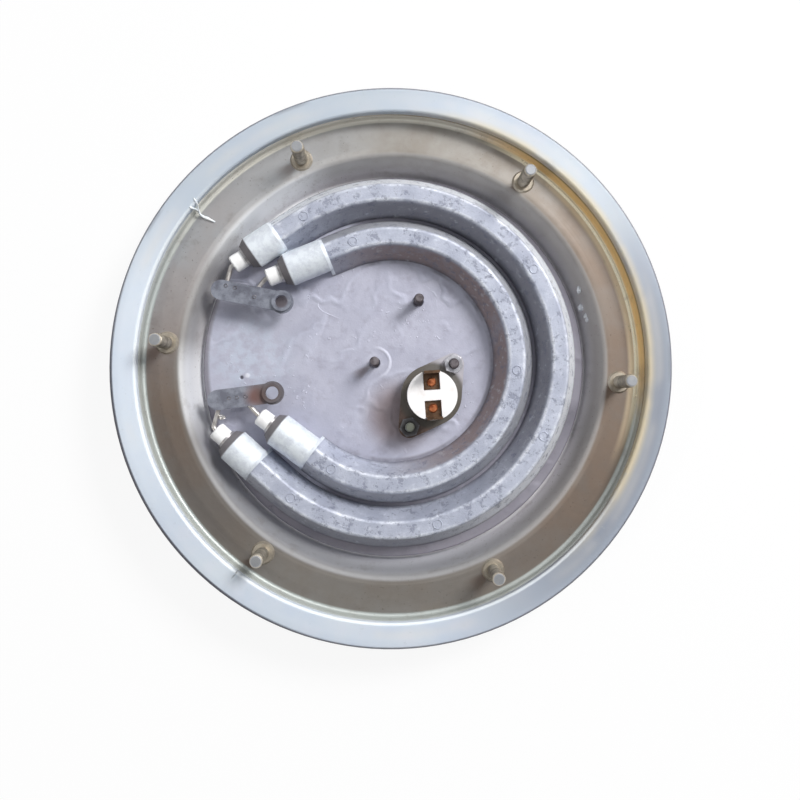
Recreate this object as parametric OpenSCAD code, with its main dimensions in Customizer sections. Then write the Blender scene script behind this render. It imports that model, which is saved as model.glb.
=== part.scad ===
// Round heating plate of a water boiler, wiring side up.
// The part stands on its water side: z = 0 is the wetted face and z points to the wiring side.
// x and y are the axes of the view straight down onto the wiring side, centred on the pan.

/* [Pan] */
// Thickness of the spun sheet
sheet_t = 0.8; // [0.6:0.1:1.0]
// Space between the spreader plate's edge and the foot of the step
floor_margin = 1.3; // [1.2:0.1:2.5]
// Width of the sloping step seen from above
step_run = 4.1; // [3:0.1:7]
// Height of the stud ledge's upper face above the wetted face
ledge_h = 11; // [9:0.5:14]
// Width of the stud ledge from the step to the upright wall
ledge_w = 11.4; // [10.5:0.1:16]
// Height of the flange's upper face above the ledge
wall_h = 3.8; // [3.4:0.1:6]
// Width of the flange outside the upright wall
flange_w = 5.8; // [4.5:0.1:9]
// Radius of the sheet's bends, at the middle of the sheet
bend_r = 1.3; // [1.0:0.1:1.5]

/* [Seal ring] */
// Silicone outside the flange's edge
seal_out = 2.2; // [1.5:0.1:4]
// Silicone above the flange
seal_over = 2.7; // [1.5:0.1:4]
// Silicone under the flange
seal_under = 2.2; // [1.2:0.1:2.4]
// Step between the wall's inner face and the seal's inner edge
seal_setback = 0.3; // [0:0.1:1.5]
// Space between the wall's outer face and the lower lip
seal_lip_gap = 0.9; // [0.5:0.1:2]
// Rounding of the seal's outer edges
seal_round = 0.9; // [0.4:0.1:1.0]
// Clearance between the flange and the slot of the seal
seal_fit = 0.02; // [0:0.01:0.1]

/* [Clamp studs] */
// Number of welded clamp studs
stud_count = 6; // [3:1:8]
// Thread diameter of the clamp studs
stud_d = 4; // [3:0.5:5]
// Length of the clamp studs above the ledge
stud_len = 15; // [8:0.5:20]
// Distance of the stud circle from the edge of the step
stud_inset = 4.4; // [4:0.1:6]
// Diameter of the welding collar
stud_collar_d = 7; // [6:0.1:7.4]
// Thickness of the welding collar
stud_collar_t = 0.8; // [0.4:0.1:1.5]
// Chamfer at the clamp studs' tips
stud_tip = 0.5; // [0.2:0.1:0.8]
// Angle of the first clamp stud
stud_at = 55.2; // [0:0.1:60]

/* [Spreader plate] */
// Thickness of the aluminium spreader plate
plate_t = 2.7; // [2:0.1:4]
// Plate showing outside the outer element's foot where it shows least
plate_rim = 0.3; // [0.2:0.1:2]
// Chamfer of the plate's upper edge
plate_chamfer = 0.4; // [0:0.1:0.8]

/* [Heating elements] */
// Shared middle of the two elements, x
element_x = -0.9; // [-2:0.1:2]
// Shared middle of the two elements, y
element_y = 1.2; // [-2:0.1:2]
// Radius of the inner element at its middle
inner_r = 38.4; // [36:0.1:42]
// Space between the feet of the two elements
element_gap = 1.1; // [1:0.1:4]
// Width of an element's foot
foot_w = 12.6; // [12.5:0.1:15]
// Height of the upright edge of the foot
foot_edge = 0.8; // [0.3:0.1:1.5]
// Width of the flat crown
crown_w = 5; // [4:0.1:6]
// Aluminium between the round sleeves' height and the crown
crown_over = 4; // [3.9:0.1:5]
// Rounding of the crown's shoulders
crown_round = 1; // [0.3:0.1:1.4]
// Diameter of the round sleeve at each end
sleeve_d = 10.6; // [10:0.1:11.2]
// Space between a sleeve and the plate
sleeve_gap = 0.2; // [0.1:0.1:0.6]
// Length of a sleeve's tapered nose
nose_len = 2.2; // [1:0.1:3]
// Diameter of the nose at its face
nose_d = 7.8; // [7:0.1:9]
// Length of the round shoulder where a sleeve begins
shoulder_len = 1; // [0.3:0.1:2]

/* [Element ends] */
// Angle at which the outer element's upper end leaves its circle
outer_a_at = 124.5; // [115:0.5:128]
// Straight length of that end, up to its nose
outer_a_lead = 17.5; // [17:0.1:23]
// Angle at which the outer element's lower end leaves its circle
outer_b_at = -131.5; // [-136:0.5:-124]
// Straight length of that end, up to its nose
outer_b_lead = 19; // [18:0.1:23]
// Angle at which the inner element's upper end leaves its circle
inner_a_at = 113; // [106:0.5:114]
// Straight length of that end, up to its nose
inner_a_lead = 19.2; // [18:0.1:23]
// Angle at which the inner element's lower end leaves its circle
inner_b_at = -126.5; // [-130:0.5:-122]
// Straight length of that end, up to its nose
inner_b_lead = 15.5; // [15:0.1:20]
// Length of the outer element's sleeves
outer_sleeve = 9.8; // [8:0.1:14]
// Length of the inner element's sleeves
inner_sleeve = 13; // [10:0.1:15]

/* [Heater tubes] */
// Outer diameter of the steel heater tubes
tube_d = 6.4; // [5.6:0.1:6.8]
// Wall of the heater tubes
tube_wall = 0.5; // [0.3:0.1:0.8]
// Length of tube that shows outside the nose
tube_out = 0.8; // [0.2:0.1:2]
// Diameter over the coiled resistance wire
coil_d = 2.8; // [2:0.1:3.6]
// Diameter of the ceramic beads
bead_d = 5.6; // [5:0.1:6.4]
// Length of bead outside the tube
bead_out = 4; // [2.5:0.1:5]
// Length of bead inside the tube
bead_in = 3; // [1:0.1:5]
// Chamfer of the beads' free edges
bead_edge = 0.4; // [0.2:0.1:0.8]
// Diameter of the terminal pins
pin_d = 1.4; // [1:0.1:2]
// Straight length of pin outside the bead, before it bends to its strap
pin_out = 0.4; // [0.2:0.1:1.5]
// Radius of the pins' bend, at the middle of the wire
pin_bend = 1.2; // [1.1:0.1:2]
// Clearance between pieces that are pressed or packed together
snug = 0.02; // [0.01:0.01:0.05]

/* [Terminal straps] */
// Width of the straps
strap_w = 6.2; // [5:0.1:7]
// Thickness of the straps
strap_t = 0.9; // [0.5:0.1:1.2]
// Diameter of the screw holes
strap_hole_d = 4; // [3:0.1:4.4]
// Outer diameter of the raised collar around a screw hole
collar_d = 6; // [5.2:0.1:6.6]
// Height of the collar above the strap
collar_h = 1.1; // [0.5:0.1:2]
// Rounding radius of the strap around its screw hole
eye_r = 3.6; // [3.4:0.1:4]
// Screw hole of the upper strap, x
upper_eye_x = -35.4; // [-40:0.1:-33]
// Screw hole of the upper strap, y
upper_eye_y = 18.8; // [17:0.1:21]
// Direction of the upper strap from its screw hole
upper_turn = 169; // [168:0.5:176]
// Length of the upper strap from its screw hole
upper_len = 22; // [20:0.1:23]
// Screw hole of the lower strap, x
lower_eye_x = -37.9; // [-41:0.1:-35]
// Screw hole of the lower strap, y
lower_eye_y = -9.3; // [-10:0.1:-7]
// Direction of the lower strap from its screw hole
lower_turn = 187.5; // [184:0.5:190]
// Length of the lower strap from its screw hole
lower_len = 19.7; // [19:0.1:21]
// Distance of the outer pins' welds from the straps' far ends
outer_weld = 4; // [3:0.1:5]
// Distance of the inner pins' welds from the screw holes
inner_weld = 9.6; // [8:0.1:11]

/* [Plate studs] */
// Distance between the two studs of a pair
pair_span = 24; // [23:0.1:26]
// Direction of both pairs
pair_turn = 55.1; // [50:0.1:60]
// Thread diameter of the plate studs
post_d = 3; // [2.5:0.1:3.2]
// Height of the plate studs above the plate
post_len = 9.5; // [8:0.1:14]
// Depth of the plate studs in the plate
post_in = 1.8; // [1:0.1:1.9]
// How much wider the pressed root in the plate is than the thread, on each side
post_step = 0.3; // [0.1:0.1:0.6]
// Chamfer at the plate studs' tips
post_tip = 0.4; // [0.2:0.1:0.6]
// Middle of the spare pair, x
spare_x = 0.15; // [-2:0.05:3]
// Middle of the spare pair, y
spare_y = 10.2; // [9:0.05:12]

/* [Thermostat] */
// Middle of the thermostat, x
stat_x = 11.1; // [9:0.1:13]
// Middle of the thermostat, y
stat_y = -10; // [-11:0.1:-8]
// Direction of the line through its terminals
stat_turn = 94; // [85:0.5:100]
// Height of the ceramic body's top above the plate
body_h = 10.4; // [9.5:0.1:12]
// Gap between the body and the cup's crimped lip
body_fit = 0.1; // [0.05:0.05:0.2]
// Outer diameter of the metal cup
cup_d = 17; // [17:0.1:18]
// Height of the cup
cup_h = 3.6; // [3:0.1:4]
// Sheet thickness of the cup
cup_t = 0.4; // [0.3:0.1:0.5]
// Width of the cup's lip, crimped in round the ceramic body
cup_lip = 0.7; // [0.6:0.1:1]
// Diameter of the bracket's ring
bracket_d = 19; // [18:0.1:20]
// Sheet thickness of the bracket
bracket_t = 0.8; // [0.6:0.1:1.2]
// End radius of the bracket's ears
ear_r = 3.4; // [3.2:0.1:4]
// Diameter of the bracket's stud holes
ear_hole_d = 3.4; // [3.3:0.1:3.8]
// Width of the nuts across their flats
nut_af = 5.5; // [5:0.1:6]
// Height of the nuts
nut_h = 2.4; // [1.6:0.1:3]
// Width of the terminal blades
blade_w = 4.8; // [4:0.1:5.2]
// Thickness of the terminal blades
blade_t = 0.8; // [0.5:0.1:1]
// Height of the terminal blades above the body
blade_up = 6; // [4:0.1:9]
// Distance of the blades' outer faces from the body's edge
blade_set = 0.3; // [0.1:0.1:0.6]
// Diameter of the latch hole in each blade
tab_hole_d = 1.6; // [1.2:0.1:2]
// Depth of the notches for the terminals
notch_h = 2; // [1.5:0.1:3]
// Ceramic left between the two notches
notch_gap = 3.2; // [2.5:0.1:4]
// Clearance between a terminal and its notch
notch_fit = 0.15; // [0.05:0.05:0.3]
// Distance between the two terminal rivets
rivet_span = 8; // [7.4:0.1:8.6]
// Shank diameter of the rivets
rivet_d = 1.8; // [1.4:0.1:2.2]
// Head diameter of the rivets
rivet_head_d = 2.8; // [2.4:0.1:3.2]
// Height of the rivet heads
rivet_head_h = 0.7; // [0.4:0.1:1]
// Diameter of the contact chamber
chamber_d = 11.6; // [11:0.1:12.4]
// Ceramic above the contact chamber
ceiling_t = 2.2; // [1.6:0.1:3]
// Thickness of the bimetal disc
disc_t = 0.25; // [0.15:0.05:0.3]
// Rise of the bimetal disc's middle
disc_rise = 0.6; // [0.3:0.1:0.8]
// Space between the bimetal disc's rim and the cup's wall
disc_margin = 0.3; // [0.1:0.1:0.5]
// Space between the top of the bimetal disc and the ceramic body
disc_free = 0.15; // [0.05:0.05:0.3]
// Diameter of the push rod
rod_d = 2; // [1.5:0.1:2.4]
// Thickness of the contact strips
strip_t = 0.4; // [0.2:0.1:0.5]
// Width of the contact strips
strip_w = 3; // [2.4:0.1:3.6]
// Diameter of the contact buttons
button_d = 2; // [1.6:0.1:2.4]
// Height of each contact button
button_h = 0.5; // [0.3:0.1:0.6]
// Distance of the contact buttons from the body's middle
button_at = 1.6; // [1.3:0.1:1.9]
// Length of a contact strip past the middle of its rivet or button
strip_past = 1.2; // [1.15:0.05:1.4]

/* [Hidden] */
$fn = 96;

// Steps in each bend of a profile
bend_steps = 8;

// A straight end starts this far inside its circle's end, and is this much slimmer on each side
lap = 0.4;
ease = 0.02;

// A pin's straight legs run this far into its bend, which is this much wider than they are
tuck = 0.1;
swell = 0.06;

// Cuts run this far past the faces that they open
past = 1;

// Levels, counted from the wetted face
plate_z = sheet_t + plate_t;
axis_h = sleeve_d / 2 + sleeve_gap;
axis_z = plate_z + axis_h;
element_h = axis_h + crown_over;
flange_z = ledge_h + wall_h;
strap_z = axis_z + pin_d / 2;

// Middle of the two elements
ELEMENT = [element_x, element_y];

// Radii, from the inner element outwards
outer_r = inner_r + foot_w + element_gap;
plate_r = norm(ELEMENT) + outer_r + foot_w / 2 + plate_rim;
floor_r = plate_r + floor_margin;
step_r = floor_r + step_run;
stud_circle_r = step_r + stud_inset;
wall_r = step_r + ledge_w;
flange_r = wall_r + flange_w;
seal_r = flange_r + seal_out;

// Element ends: circle radius, angle, side of the opening, straight length, sleeve length
OUTER_A = [outer_r, outer_a_at, 1, outer_a_lead, outer_sleeve];
OUTER_B = [outer_r, outer_b_at, -1, outer_b_lead, outer_sleeve];
INNER_A = [inner_r, inner_a_at, 1, inner_a_lead, inner_sleeve];
INNER_B = [inner_r, inner_b_at, -1, inner_b_lead, inner_sleeve];

// Straps: screw hole, direction, length
UPPER = [[upper_eye_x, upper_eye_y], upper_turn, upper_len];
LOWER = [[lower_eye_x, lower_eye_y], lower_turn, lower_len];

// Diameter of the plate studs' roots, and of the ceramic body that the cup's lip holds
post_root_d = post_d + 2 * post_step;
body_d = cup_d - 2 * cup_lip - 2 * body_fit;

// Heights inside the thermostat, counted from the plate
notch_floor = body_h - notch_h;
ceiling_h = notch_floor - ceiling_t;
base_low = cup_t + disc_t + disc_rise + disc_free;
rod_top = ceiling_h - strip_t - 2 * button_h - strip_t;
rivet_low = ceiling_h - strip_t;

// Unit vector at an angle
function dir(a) = [cos(a), sin(a)];

// Unit vector to the left of a step v
function left(v) = [-v[1], v[0]] / norm(v);

// Points of one bend at corner q between p and s, with middle radius r, a distance d to the left
function bend(p, q, s, r, d) = let(
        u = (q - p) / norm(q - p),
        v = (s - q) / norm(s - q),
        turn = atan2(u[0] * v[1] - u[1] * v[0], u * v),
        hand = sign(turn),
        centre = q - u * r * tan(abs(turn) / 2) + hand * r * left(u),
        first = atan2(u[1], u[0]) - 90 * hand)
    [for (i = [0 : bend_steps]) centre + (r - hand * d) * dir(first + turn * i / bend_steps)];

// The line d to the left of the path through corners c, with bend radii r
function beside(c, r, d) = let(n = len(c) - 1) concat(
    [c[0] + d * left(c[1] - c[0])],
    [for (i = [1 : n - 1]) each bend(c[i - 1], c[i], c[i + 1], r[i - 1], d)],
    [c[n] + d * left(c[n] - c[n - 1])]);

// A list in the opposite order
function reversed(a) = [for (i = [len(a) - 1 : -1 : 0]) a[i]];

// Outline of a bent sheet of thickness t along a path
function sheet(c, r, t) = concat(beside(c, r, -t / 2), reversed(beside(c, r, t / 2)));

// Point on an element end's axis, s beyond the end of its circle
function lead_point(e, s) = ELEMENT + e[0] * dir(e[1]) + s * e[2] * dir(e[1] + 90);

// Point on a strap, s from its screw hole
function strap_point(b, s) = b[0] + s * dir(b[1]);

// Length of an end from its circle to the face of its nose, of its tube, and of its bead
function nose_at(e) = e[3] + nose_len;
function mouth_at(e) = nose_at(e) + tube_out;
function bead_at(e) = mouth_at(e) + bead_out;

// Draws along an element's straight end: y is up from the heater tube's axis, z along the end
module along(e) {
    translate(concat(ELEMENT, axis_z)) rotate(e[1]) translate([e[0], 0])
        rotate([90, 0, e[2] > 0 ? 180 : 0]) children();
}

// Sweeps a flat shape centred on the heater tube's axis round the circle between two ends
module around(a, b) {
    translate(concat(ELEMENT, axis_z)) rotate(b[1])
        rotate_extrude(angle = a[1] - b[1]) translate([a[0], 0]) children();
}

// A round bar of diameter d round a circle and out along both ends by the lengths la and lb
module bar(a, b, d, la, lb) {
    around(a, b) circle(d = d);
    along(a) translate([0, 0, -lap]) cylinder(d = d - 2 * ease, h = lap + la);
    along(b) translate([0, 0, -lap]) cylinder(d = d - 2 * ease, h = lap + lb);
}

module steel_pan() {
    mid = sheet_t / 2;
    path = [
        [0, mid], [floor_r, mid], [step_r, ledge_h - mid], [wall_r + mid, ledge_h - mid],
        [wall_r + mid, flange_z - mid], [flange_r, flange_z - mid]];
    color("#a39d92") rotate_extrude($fn = 180) polygon(sheet(path, [for (i = [1 : 4]) bend_r], sheet_t));
}

module seal_ring() {
    low = flange_z - sheet_t - seal_under;
    high = flange_z + seal_over;
    body = [
        [wall_r + seal_setback, low], [seal_r, low], [seal_r, high], [wall_r + seal_setback, high]];
    round = [for (i = [1 : 4]) seal_round];
    mid = [wall_r + seal_setback, (low + high) / 2];
    color("#c8d7e4") rotate_extrude($fn = 180) difference() {
        polygon(beside(concat([mid], body, [mid]), round, 0));
        translate([0, flange_z - sheet_t - seal_fit])
            square([flange_r + seal_fit, sheet_t + 2 * seal_fit]);
        translate([0, low - past])
            square([wall_r + sheet_t + bend_r + seal_lip_gap, flange_z - sheet_t - low + past]);
    }
}

module clamp_studs() {
    color("#8f8a80") for (i = [0 : stud_count - 1])
        rotate(stud_at + i * 360 / stud_count) translate([stud_circle_r, 0, ledge_h]) {
            cylinder(d1 = stud_collar_d, d2 = stud_collar_d - stud_collar_t, h = stud_collar_t);
            cylinder(d = stud_d, h = stud_len - stud_tip);
            translate([0, 0, stud_len - stud_tip])
                cylinder(d1 = stud_d, d2 = stud_d - 2 * stud_tip, h = stud_tip);
        }
}

// Places its children at the four studs that stand on the plate
module at_posts(centres) {
    for (c = centres, s = [-1, 1])
        translate(concat(c + s * pair_span / 2 * dir(pair_turn), plate_z)) children();
}

module spreader_plate() {
    color("#b9b6c3") difference() {
        union() {
            translate([0, 0, sheet_t]) cylinder(r = plate_r, h = plate_t - plate_chamfer, $fn = 180);
            translate([0, 0, plate_z - plate_chamfer])
                cylinder(r1 = plate_r, r2 = plate_r - plate_chamfer, h = plate_chamfer, $fn = 180);
        }
        at_posts([[stat_x, stat_y], [spare_x, spare_y]])
            translate([0, 0, -post_in - snug]) cylinder(d = post_root_d + 2 * snug, h = post_in + past);
    }
}

module plate_studs() {
    color("#55525c") at_posts([[stat_x, stat_y], [spare_x, spare_y]]) {
        translate([0, 0, -post_in]) cylinder(d = post_root_d, h = post_in);
        cylinder(d = post_d, h = post_len - post_tip);
        translate([0, 0, post_len - post_tip])
            cylinder(d1 = post_d, d2 = post_d - 2 * post_tip, h = post_tip);
    }
}

// Section of the aluminium sheath, slimmer by e, with its origin on the heater tube's axis
module sheath_section(e = 0) {
    foot = foot_w / 2 - e;
    crown = crown_w / 2 - e / 2;
    top = element_h - e;
    corners = [[-foot, 0], [-foot, foot_edge], [-crown, top], [crown, top], [foot, foot_edge], [foot, 0]];
    translate([0, -axis_h])
        polygon(beside(corners, [foot_edge / 2, crown_round, crown_round, foot_edge / 2], 0));
}

// Straight end of a sheath: triangular at first, then a round sleeve with a tapered nose
module sheath_end(e) {
    start = e[3] - e[4];
    along(e) {
        translate([0, 0, -lap]) linear_extrude(lap + start + shoulder_len) sheath_section(ease);
        translate([0, 0, start]) cylinder(d1 = sleeve_d - shoulder_len, d2 = sleeve_d, h = shoulder_len);
        translate([0, 0, start + shoulder_len]) cylinder(d = sleeve_d, h = e[4] - shoulder_len);
        translate([0, 0, e[3]]) cylinder(d1 = sleeve_d, d2 = nose_d, h = nose_len);
    }
}

module sheath(a, b) {
    color("#c3c9d4") difference() {
        union() {
            around(a, b) sheath_section();
            sheath_end(a);
            sheath_end(b);
        }
        bar(a, b, tube_d + 2 * snug, nose_at(a) + past, nose_at(b) + past);
    }
}

module outer_sheath() { sheath(OUTER_A, OUTER_B); }
module inner_sheath() { sheath(INNER_A, INNER_B); }

module heater_tube(a, b) {
    color("#9a989c") difference() {
        bar(a, b, tube_d, mouth_at(a), mouth_at(b));
        bar(a, b, tube_d - 2 * tube_wall, mouth_at(a) + past, mouth_at(b) + past);
    }
}

module outer_heater_tube() { heater_tube(OUTER_A, OUTER_B); }
module inner_heater_tube() { heater_tube(INNER_A, INNER_B); }

// Packed insulating powder, bored for the coil round the circle and for the pins at the ends
module magnesia(a, b) {
    end_a = mouth_at(a) - bead_in;
    end_b = mouth_at(b) - bead_in;
    color("#e4e0d6") difference() {
        bar(a, b, tube_d - 2 * tube_wall - 2 * snug - 2 * ease, end_a, end_b);
        around(a, b) circle(d = coil_d + 2 * snug);
        along(a) translate([0, 0, -lap]) cylinder(d = pin_d + 2 * snug, h = lap + end_a + past);
        along(b) translate([0, 0, -lap]) cylinder(d = pin_d + 2 * snug, h = lap + end_b + past);
    }
}

module outer_magnesia() { magnesia(OUTER_A, OUTER_B); }
module inner_magnesia() { magnesia(INNER_A, INNER_B); }

// The space that the coiled resistance wire fills
module coil(a, b) {
    color("#6d675f") around(a, b) circle(d = coil_d);
}

module outer_coil() { coil(OUTER_A, OUTER_B); }
module inner_coil() { coil(INNER_A, INNER_B); }

module bead(e) {
    color("white") along(e) difference() {
        union() {
            translate([0, 0, mouth_at(e) - bead_in + snug])
                cylinder(d = tube_d - 2 * tube_wall - 2 * snug - 2 * ease, h = bead_in);
            translate([0, 0, mouth_at(e) + snug]) cylinder(d = bead_d, h = bead_out - snug - bead_edge);
            translate([0, 0, bead_at(e) - bead_edge])
                cylinder(d1 = bead_d, d2 = bead_d - 2 * bead_edge, h = bead_edge);
        }
        translate([0, 0, mouth_at(e) - bead_in - past])
            cylinder(d = pin_d + 2 * snug, h = bead_in + bead_out + 2 * past);
    }
}

module outer_bead_a() { bead(OUTER_A); }
module outer_bead_b() { bead(OUTER_B); }
module inner_bead_a() { bead(INNER_A); }
module inner_bead_b() { bead(INNER_B); }

// Terminal pin: straight out of its end, round a bend, then straight on to its weld under a strap
module pin(e, weld) {
    first = e[1] + 90 * e[2];
    start = lead_point(e, bead_at(e) + pin_out);
    hand = sign((weld - start) * dir(first + 90));
    centre = start + hand * pin_bend * dir(first + 90);
    way = weld - centre;
    last = atan2(way[1], way[0]) + hand * asin(pin_bend / norm(way));
    turn = (hand * (last - first) + 720) % 360;
    color("#b7b3ad") {
        along(e) cylinder(d = pin_d, h = bead_at(e) + pin_out + tuck);
        translate(concat(centre, axis_z)) rotate((hand > 0 ? first : last) - 90 * hand)
            rotate_extrude(angle = turn) translate([pin_bend, 0]) circle(d = pin_d + swell);
        translate(concat(weld, axis_z)) rotate([0, -90, last])
            cylinder(d = pin_d, h = sqrt(way * way - pin_bend * pin_bend) + tuck);
    }
}

module outer_pin_a() { pin(OUTER_A, strap_point(UPPER, upper_len - outer_weld)); }
module outer_pin_b() { pin(OUTER_B, strap_point(LOWER, lower_len - outer_weld)); }
module inner_pin_a() { pin(INNER_A, strap_point(UPPER, inner_weld)); }
module inner_pin_b() { pin(INNER_B, strap_point(LOWER, inner_weld)); }

// Terminal strap with a raised collar round its screw hole, lying on the pins
module strap(b) {
    end_r = strap_w / 2;
    translate(concat(b[0], strap_z)) rotate(b[1]) difference() {
        union() {
            cylinder(r = eye_r, h = strap_t);
            translate([0, -end_r, 0]) cube([b[2] - end_r, strap_w, strap_t]);
            translate([b[2] - end_r, 0, 0]) cylinder(r = end_r, h = strap_t);
            cylinder(d = collar_d, h = strap_t + collar_h);
        }
        translate([0, 0, -past]) cylinder(d = strap_hole_d, h = strap_t + collar_h + 2 * past);
    }
}

module upper_strap() { color("#98999e") strap(UPPER); }
module lower_strap() { color("#8d8484") strap(LOWER); }

// Places its children on the plate at the thermostat's middle
module at_thermostat(turn = 0) {
    translate([stat_x, stat_y, plate_z]) rotate(turn) children();
}

module thermostat_cup() {
    color("#7d6f66") at_thermostat() difference() {
        cylinder(d = cup_d, h = cup_h);
        translate([0, 0, cup_t]) cylinder(d = cup_d - 2 * cup_t, h = cup_h - 2 * cup_t);
        translate([0, 0, cup_t]) cylinder(d = body_d + 2 * body_fit, h = cup_h);
    }
}

// Outline of the bracket: a ring with two ears on its common tangents
module bracket_outline() {
    span = pair_span / 2;
    ring_r = bracket_d / 2;
    a = acos((ring_r - ear_r) / span);
    circle(r = ring_r);
    for (s = [-1, 1]) scale([s, 1]) {
        translate([span, 0]) circle(r = ear_r);
        polygon([
            ring_r * dir(-a), [span, 0] + ear_r * dir(-a),
            [span, 0] + ear_r * dir(a), ring_r * dir(a)]);
    }
}

module thermostat_bracket() {
    color("#75655c") at_thermostat(pair_turn) translate([0, 0, cup_h]) difference() {
        linear_extrude(bracket_t) bracket_outline();
        translate([0, 0, -past]) cylinder(d = body_d + 2 * body_fit, h = bracket_t + 2 * past);
        for (s = [-1, 1]) translate([s * pair_span / 2, 0, -past])
            cylinder(d = ear_hole_d, h = bracket_t + 2 * past);
    }
}

module thermostat_nuts() {
    color("#a9a5a2") at_posts([[stat_x, stat_y]]) translate([0, 0, cup_h + bracket_t])
        difference() {
            cylinder(d = nut_af / cos(30), h = nut_h, $fn = 6);
            translate([0, 0, -past]) cylinder(d = post_d + 2 * snug, h = nut_h + 2 * past);
        }
}

module thermostat_base() {
    flange_d = cup_d - 2 * cup_t - 2 * snug;
    notch_w = blade_w + 2 * notch_fit;
    color("#f1eef0") at_thermostat(stat_turn) difference() {
        union() {
            translate([0, 0, base_low]) cylinder(d = body_d, h = body_h - base_low);
            translate([0, 0, base_low]) cylinder(d = flange_d, h = cup_h - cup_t - snug - base_low);
        }
        translate([0, 0, base_low - past]) cylinder(d = chamber_d, h = ceiling_h - base_low + past);
        for (s = [-1, 1]) {
            translate([s > 0 ? notch_gap / 2 : -body_d, -notch_w / 2, notch_floor])
                cube([body_d - notch_gap / 2, notch_w, notch_h + past]);
            translate([s * rivet_span / 2, 0, ceiling_h - past])
                cylinder(d = rivet_d + 2 * snug, h = ceiling_t + 2 * past);
        }
    }
}

// Shallow domed disc that snaps over when it is hot
module bimetal_disc() {
    disc_r = cup_d / 2 - cup_t - disc_margin;
    dome_r = (disc_r * disc_r + disc_rise * disc_rise) / (2 * disc_rise);
    low = cup_t + disc_rise - dome_r;
    edge = asin(disc_r / dome_r);
    inner = [for (i = [0 : bend_steps]) [0, low] + dome_r * dir(90 - edge * i / bend_steps)];
    outer = [for (p = inner) p + [0, disc_t]];
    color("#b5a27c") at_thermostat() rotate_extrude() polygon(concat(inner, reversed(outer)));
}

module push_rod() {
    low = cup_t + disc_rise + disc_t;
    color("#ece7dc") at_thermostat() translate([0, 0, low]) cylinder(d = rod_d, h = rod_top - low);
}

// Spring strip on one rivet, with its button under the fixed one, resting on the push rod
module contact_blade() {
    reach = rivet_span / 2;
    drop = ceiling_h - rod_top;
    color("#c08a55") at_thermostat(stat_turn) difference() {
        union() {
            translate([-reach - strip_past, -strip_w / 2, rod_top])
                cube([reach + button_at + 2 * strip_past, strip_w, strip_t]);
            translate([-reach - strip_past, -strip_w / 2, rod_top]) cube([2 * strip_past, strip_w, drop]);
            translate([button_at, 0, rod_top + strip_t]) cylinder(d = button_d, h = button_h);
        }
        translate([-reach, 0, rod_top - past]) cylinder(d = rivet_d + 2 * snug, h = drop + 2 * past);
    }
}

module fixed_contact() {
    reach = rivet_span / 2;
    color("#c08a55") at_thermostat(stat_turn) difference() {
        union() {
            translate([button_at - strip_past, -strip_w / 2, rivet_low])
                cube([reach - button_at + 2 * strip_past, strip_w, strip_t]);
            translate([button_at, 0, rivet_low - button_h]) cylinder(d = button_d, h = button_h);
        }
        translate([reach, 0, rivet_low - past]) cylinder(d = rivet_d + 2 * snug, h = strip_t + 2 * past);
    }
}

// Angled terminal: a leg in its notch and an upright blade at the body's edge
module terminal(s) {
    inner = notch_gap / 2 + notch_fit;
    outer = body_d / 2 - blade_set;
    color("#6e5340") at_thermostat(stat_turn + (s > 0 ? 0 : 180)) translate([0, 0, notch_floor])
        difference() {
            union() {
                translate([inner, -blade_w / 2, 0]) cube([outer - inner, blade_w, blade_t]);
                translate([outer - blade_t, -blade_w / 2, 0])
                    cube([blade_t, blade_w, notch_h + blade_up]);
            }
            translate([rivet_span / 2, 0, -past]) cylinder(d = rivet_d + 2 * snug, h = blade_t + 2 * past);
            translate([outer - blade_t / 2, 0, notch_h + blade_up / 2])
                rotate([0, 90, 0]) cylinder(d = tab_hole_d, h = blade_t + 2 * past, center = true);
        }
}

module terminal_a() { terminal(1); }
module terminal_b() { terminal(-1); }

module terminal_rivets() {
    seat = notch_floor + blade_t;
    color("#c9713f") at_thermostat(stat_turn) for (s = [-1, 1]) translate([s * rivet_span / 2, 0, 0]) {
        translate([0, 0, rivet_low]) cylinder(d = rivet_d, h = seat - rivet_low);
        translate([0, 0, seat])
            cylinder(d1 = rivet_head_d, d2 = rivet_head_d - rivet_head_h, h = rivet_head_h);
    }
}

steel_pan();
seal_ring();
clamp_studs();
spreader_plate();
plate_studs();
outer_sheath();
inner_sheath();
outer_heater_tube();
inner_heater_tube();
outer_magnesia();
inner_magnesia();
outer_coil();
inner_coil();
outer_bead_a();
outer_bead_b();
inner_bead_a();
inner_bead_b();
outer_pin_a();
outer_pin_b();
inner_pin_a();
inner_pin_b();
upper_strap();
lower_strap();
thermostat_cup();
thermostat_bracket();
thermostat_nuts();
thermostat_base();
bimetal_disc();
push_rod();
contact_blade();
fixed_contact();
terminal_a();
terminal_b();
terminal_rivets();
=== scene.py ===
# %% [markdown]
# # A water boiler heating plate, finished in Blender
# The solids of this part are fixed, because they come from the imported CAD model. This lesson gives them
# the finishes of a plate that has been in use. It also cuts real threads on the studs, adds the marks of
# pressing and welding, and lights the plate on a pale table.

# %% Load the fixed frame
import math

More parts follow.
